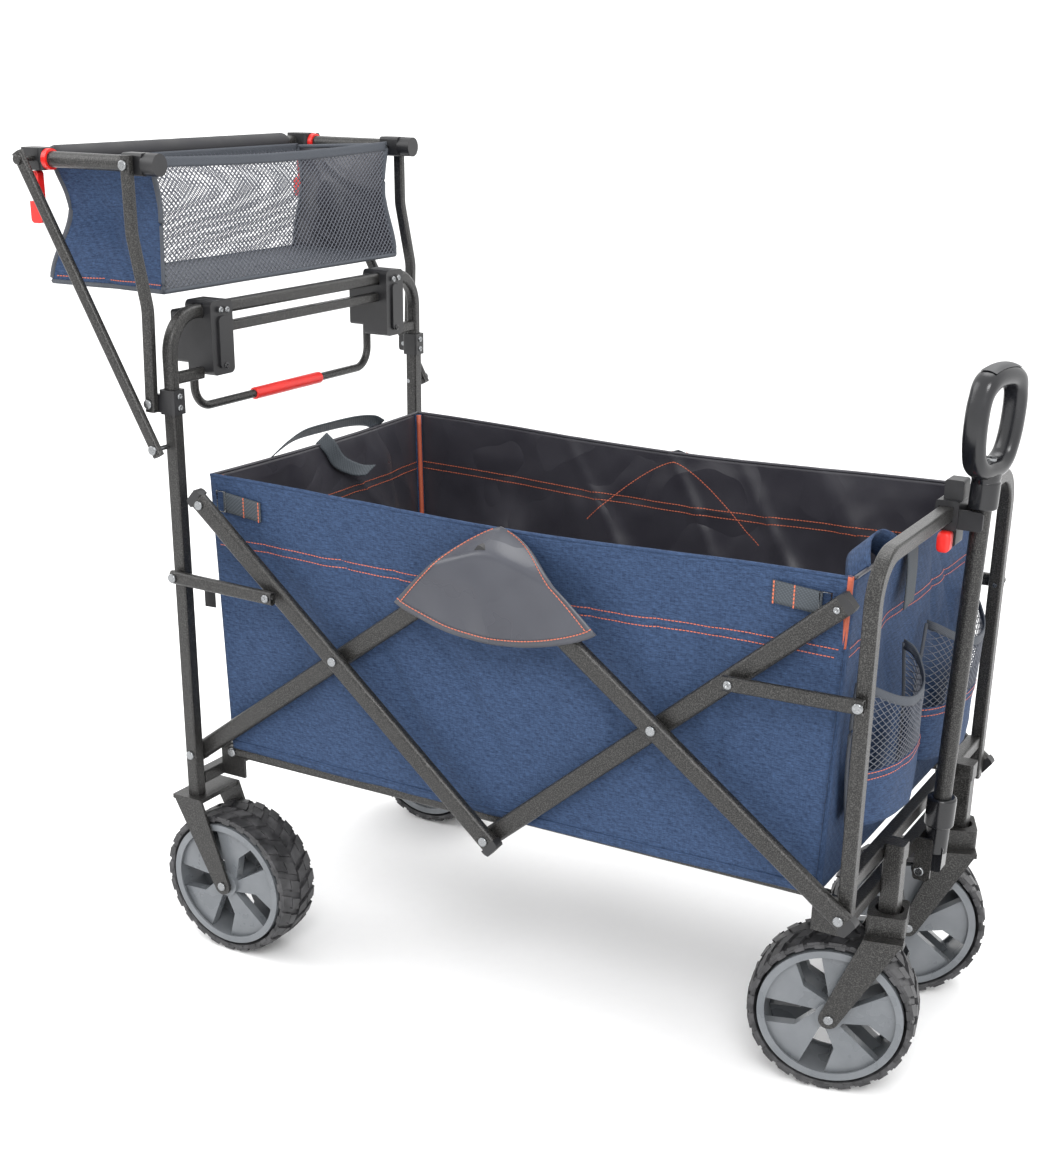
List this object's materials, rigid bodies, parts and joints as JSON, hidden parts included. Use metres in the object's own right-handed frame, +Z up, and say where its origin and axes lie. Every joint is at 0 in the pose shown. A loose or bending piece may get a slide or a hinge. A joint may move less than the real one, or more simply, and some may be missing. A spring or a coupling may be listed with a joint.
{
  "type": "folding push-pull wagon",
  "caption": "Folding push-pull wagon: scissor side frame, fabric box, swivel casters, telescoping pull handle, push handle with mesh basket.",
  "frame": {"origin": "on the ground under the middle of the overall length and width", "axes": "+X towards the pull handle, +Y to the left, +Z up"},
  "size_m": [1.1817, 0.614, 1.0345],
  "materials": {
    "frame": "hammertone powder coat",
    "moulding": "fine matt texture",
    "zinc": "zinc plated",
    "red_plastic": "satin",
    "tyre": "moulded block tread",
    "rim": "satin",
    "foam": "closed-cell foam",
    "grip_pad": "soft touch",
    "denim": "heathered twill with orange stitching",
    "lining": "coated polyester",
    "mesh": "open knit mesh",
    "webbing": "woven webbing",
    "stitch": "twisted thread"
  },
  "bodies": {
    "rear_frame": {"rear_posts": "frame", "rear_upper_frame": "frame", "rear_cross_members": "frame", "frame_clamps": "moulding", "lock_housings": "moulding", "rear_forks": "frame", "rear_bolts": "zinc", "bail_springs": "zinc", "bag_rear": "lining", "bag_sides": "denim", "bag_floor": "lining"},
    "bail": {"bail_rod": "frame", "bail_grip": "red_plastic"},
    "rear_low_bar": {"rear_low_bars": "frame", "rear_low_caps": "moulding"},
    "rear_high_bar": {"rear_high_bars": "frame", "rear_high_caps": "moulding", "rear_high_pins": "zinc"},
    "front_low_bar": {"front_low_bars": "frame", "front_low_caps": "moulding", "front_low_pins": "zinc"},
    "front_high_bar": {"front_high_bars": "frame", "front_high_caps": "moulding"},
    "front_frame": {"front_frame_tube": "frame", "front_cross_members": "frame", "caster_heads": "frame", "handle_clip": "moulding", "front_bolts": "zinc", "bag_front": "denim"},
    "rear_link": {"rear_links": "frame"},
    "front_link": {"front_links": "frame"},
    "rear_floor_rail": {"rear_floor_rails": "frame"},
    "front_floor_rail": {"front_floor_rails": "frame"},
    "clip_button": {"clip_button": "red_plastic"},
    "pull_handle": {"handle_fittings": "moulding", "handle_tube": "frame"},
    "grip": {"handle_inner_tube": "zinc", "d_grip": "moulding", "grip_pad": "grip_pad"},
    "caster_r": {"caster_fork_r": "frame", "caster_axle_r": "zinc"},
    "caster_l": {"caster_fork_l": "frame", "caster_axle_l": "zinc"},
    "bent_strut": {"bent_struts": "frame"},
    "straight_strut": {"straight_struts": "frame"},
    "push_handle": {"push_tube": "frame", "push_foam": "foam", "push_joints": "moulding", "latch_collars": "red_plastic", "push_bolts": "zinc", "basket_shell": "denim"},
    "latch_hook": {"latch_hooks": "red_plastic"},
    "rear_wheel_r": {"rear_tyre_r": "tyre", "rear_rim_r": "rim"},
    "rear_wheel_l": {"rear_tyre_l": "tyre", "rear_rim_l": "rim"},
    "front_wheel_r": {"front_tyre_r": "tyre", "front_rim_r": "rim"},
    "front_wheel_l": {"front_tyre_l": "tyre", "front_rim_l": "rim"}
  },
  "joints": [
    {"name": "fold", "type": "hinge", "parent": "rear_frame", "child": "rear_low_bar", "pos_m": [-0.37687, 0, 0.2765], "axis": [0, -1, 0], "range_deg": [0, 38], "deforming": ["bag_sides", "bag_floor"]},
    {"name": "rear_cross_pivot", "type": "hinge", "parent": "rear_low_bar", "child": "rear_high_bar", "pos_m": [-0.14356, 0, 0.4501], "axis": [0, -1, 0], "range_deg": [-90, 0]},
    {"name": "top_hub_pivot", "type": "hinge", "parent": "rear_low_bar", "child": "front_low_bar", "pos_m": [0.07314, 0, 0.61135], "axis": [0, -1, 0], "range_deg": [-90, 0]},
    {"name": "front_cross_pivot", "type": "hinge", "parent": "front_low_bar", "child": "front_high_bar", "pos_m": [0.28984, 0, 0.4501], "axis": [0, -1, 0], "range_deg": [0, 90]},
    {"name": "front_foot_pivot", "type": "hinge", "parent": "front_low_bar", "child": "front_frame", "pos_m": [0.52314, 0, 0.2765], "axis": [0, -1, 0], "range_deg": [0, 90]},
    {"name": "rear_link_pivot", "type": "hinge", "parent": "rear_frame", "child": "rear_link", "pos_m": [-0.37687, 0, 0.5234], "axis": [0, -1, 0], "range_deg": [0, 90]},
    {"name": "front_link_pivot", "type": "hinge", "parent": "front_frame", "child": "front_link", "pos_m": [0.52314, 0, 0.5234], "axis": [0, -1, 0], "range_deg": [-90, 0]},
    {"name": "rear_rail_pivot", "type": "hinge", "parent": "rear_frame", "child": "rear_floor_rail", "pos_m": [-0.33887, 0, 0.275], "axis": [0, -1, 0], "range_deg": [0, 90]},
    {"name": "front_rail_pivot", "type": "hinge", "parent": "front_frame", "child": "front_floor_rail", "pos_m": [0.48513, 0, 0.275], "axis": [0, -1, 0], "range_deg": [-90, 0]},
    {"name": "rear_wheel_spin_r", "type": "hinge", "parent": "rear_frame", "child": "rear_wheel_r", "pos_m": [-0.32756, -0.2456, 0.1001], "axis": [0, 1, 0], "continuous": true},
    {"name": "caster_swivel_r", "type": "hinge", "parent": "front_frame", "child": "caster_r", "pos_m": [0.53894, -0.1367, 0.205], "axis": [0, 0, 1], "continuous": true},
    {"name": "front_wheel_spin_r", "type": "hinge", "parent": "caster_r", "child": "front_wheel_r", "pos_m": [0.48528, -0.14879, 0.1001], "axis": [-0.2198, 0.9755, 0], "continuous": true},
    {"name": "rear_wheel_spin_l", "type": "hinge", "parent": "rear_frame", "child": "rear_wheel_l", "pos_m": [-0.32756, 0.2456, 0.1001], "axis": [0, 1, 0], "continuous": true},
    {"name": "caster_swivel_l", "type": "hinge", "parent": "front_frame", "child": "caster_l", "pos_m": [0.53894, 0.1367, 0.205], "axis": [0, 0, 1], "continuous": true},
    {"name": "front_wheel_spin_l", "type": "hinge", "parent": "caster_l", "child": "front_wheel_l", "pos_m": [0.48794, 0.1161, 0.1001], "axis": [-0.3746, 0.9272, 0], "continuous": true},
    {"name": "pull_handle_swing", "type": "hinge", "parent": "front_frame", "child": "pull_handle", "pos_m": [0.53614, 0, 0.2324], "axis": [0, 1, 0], "range_deg": [0, 80]},
    {"name": "pull_handle_extend", "type": "slide", "parent": "pull_handle", "child": "grip", "axis": [0.0262, 0, 0.9997], "range_m": [0, 0.22]},
    {"name": "clip_button_press", "type": "slide", "parent": "front_frame", "child": "clip_button", "axis": [0, 1, 0], "range_m": [0, 0.004], "stiffness_N_per_m": 600},
    {"name": "bail_lift", "type": "slide", "parent": "rear_frame", "child": "bail", "axis": [0, 0, 1], "range_m": [0, 0.024], "stiffness_N_per_m": 250, "deforming": ["bail_springs"]},
    {"name": "push_handle_fold", "type": "hinge", "parent": "rear_frame", "child": "bent_strut", "pos_m": [-0.39587, 0, 0.742], "axis": [0, -1, 0], "range_deg": [0, 60]},
    {"name": "straight_strut_pivot", "type": "hinge", "parent": "rear_frame", "child": "straight_strut", "pos_m": [-0.38187, 0, 0.689], "axis": [0, -1, 0], "range_deg": [0, 90]},
    {"name": "push_handle_pivot", "type": "hinge", "parent": "bent_strut", "child": "push_handle", "pos_m": [-0.40986, 0, 1.02], "axis": [0, -1, 0], "range_deg": [-45, 0]},
    {"name": "latch_hook_pull", "type": "hinge", "parent": "push_handle", "child": "latch_hook", "pos_m": [-0.57086, 0, 1.002], "axis": [0, -1, 0], "range_deg": [0, 35]}
  ],
  "couplings": [
    {"joint": "rear_cross_pivot", "follows": "fold", "ratio": -1.9795},
    {"joint": "top_hub_pivot", "follows": "fold", "ratio": -2},
    {"joint": "front_cross_pivot", "follows": "fold", "ratio": 1.9795},
    {"joint": "front_foot_pivot", "follows": "fold", "ratio": 1},
    {"joint": "rear_link_pivot", "follows": "fold", "ratio": 1.8554},
    {"joint": "front_link_pivot", "follows": "fold", "ratio": -1.8554},
    {"joint": "rear_rail_pivot", "follows": "fold", "ratio": 1.9592},
    {"joint": "front_rail_pivot", "follows": "fold", "ratio": -1.9592},
    {"joint": "straight_strut_pivot", "follows": "push_handle_fold", "ratio": 0.838},
    {"joint": "push_handle_pivot", "follows": "push_handle_fold", "ratio": -0.257}
  ]
}
